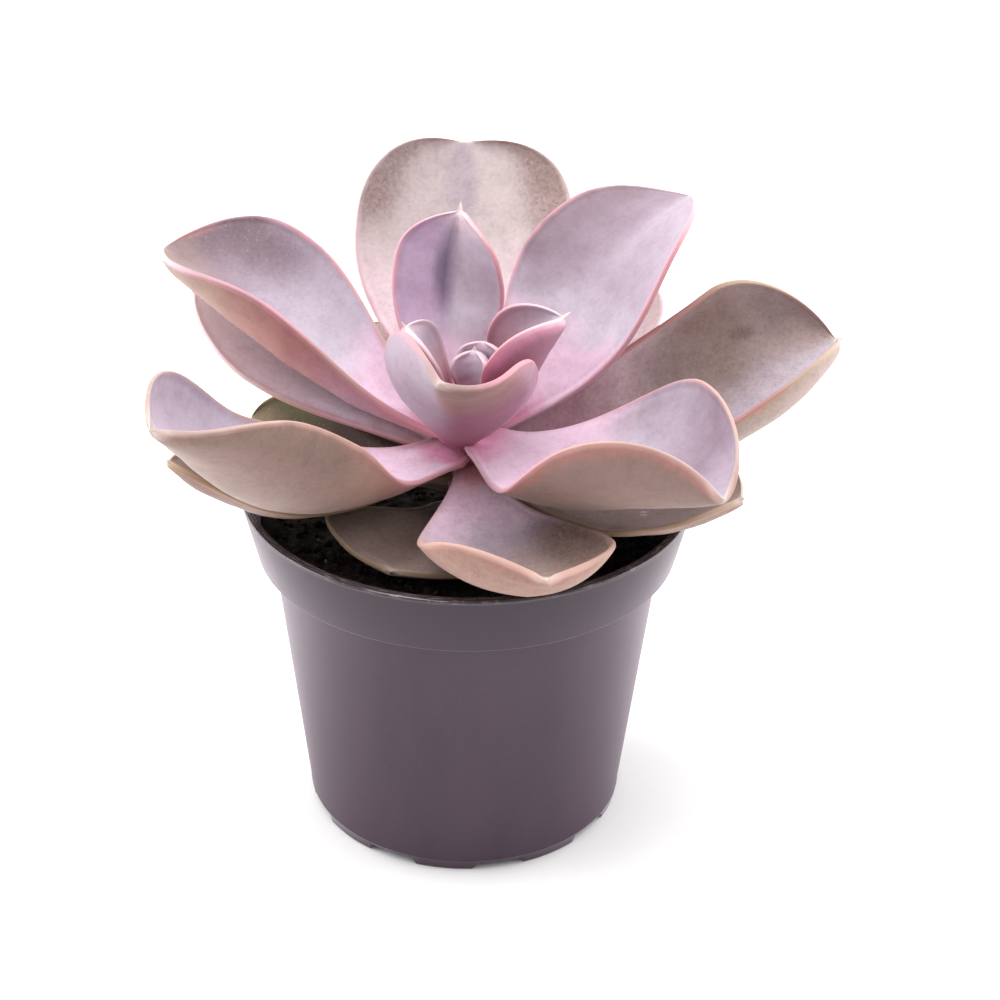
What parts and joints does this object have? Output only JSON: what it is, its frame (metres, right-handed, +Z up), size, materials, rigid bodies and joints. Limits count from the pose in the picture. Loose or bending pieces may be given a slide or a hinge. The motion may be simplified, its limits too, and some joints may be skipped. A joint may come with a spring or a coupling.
{
  "type": "potted echeveria",
  "caption": "Rosette of fleshy, spine-tipped succulent leaves on a short stem, growing in soil in a round tapered nursery pot that stands on its notched foot ring.",
  "frame": {"origin": "centre of the pad in the middle of the pot's underside, on the plane of the feet", "axes": "+Z up along the pot's axis, -Y towards the side seen in the picture, +X to the right of that view"},
  "size_m": [0.1639, 0.1297, 0.144],
  "materials": {
    "pot_plastic": "satin taupe-grey injection-moulded polypropylene, lightly scuffed on the lip",
    "potting_mix": "dark moist peat mix, matt and crumbly",
    "stem_skin": "pinkish-brown succulent stem, matt",
    "leaf_lavender": "waxy lavender bloom on succulent skin, pink at the margins",
    "leaf_mauve": "powdery grey-mauve succulent skin with a fine speckle, peach at the margins",
    "leaf_bronze": "dull olive-brown skin of old succulent leaves",
    "leaf_pink": "young rose-pink succulent skin with a thin waxy bloom"
  },
  "bodies": {
    "root": {"pot": "pot_plastic", "soil": "potting_mix", "stem": "stem_skin", "leaf_back": "leaf_mauve", "leaf_right": "leaf_mauve", "leaf_back_right": "leaf_lavender", "leaf_left_back": "leaf_lavender", "leaf_left_under": "leaf_lavender", "leaf_right_front": "leaf_lavender", "leaf_left_front": "leaf_mauve", "leaf_front": "leaf_lavender", "leaf_right_low": "leaf_bronze", "leaf_left_low": "leaf_bronze", "leaf_front_left_low": "leaf_bronze", "leaf_back_left_low": "leaf_bronze", "leaf_behind_right": "leaf_mauve", "leaf_back_low": "leaf_bronze", "leaf_inner_back": "leaf_lavender", "heart_leaf_front": "leaf_pink", "heart_leaf_right": "leaf_pink", "heart_leaf_left": "leaf_pink", "heart_bud": "leaf_lavender"}
  },
  "joints": []
}
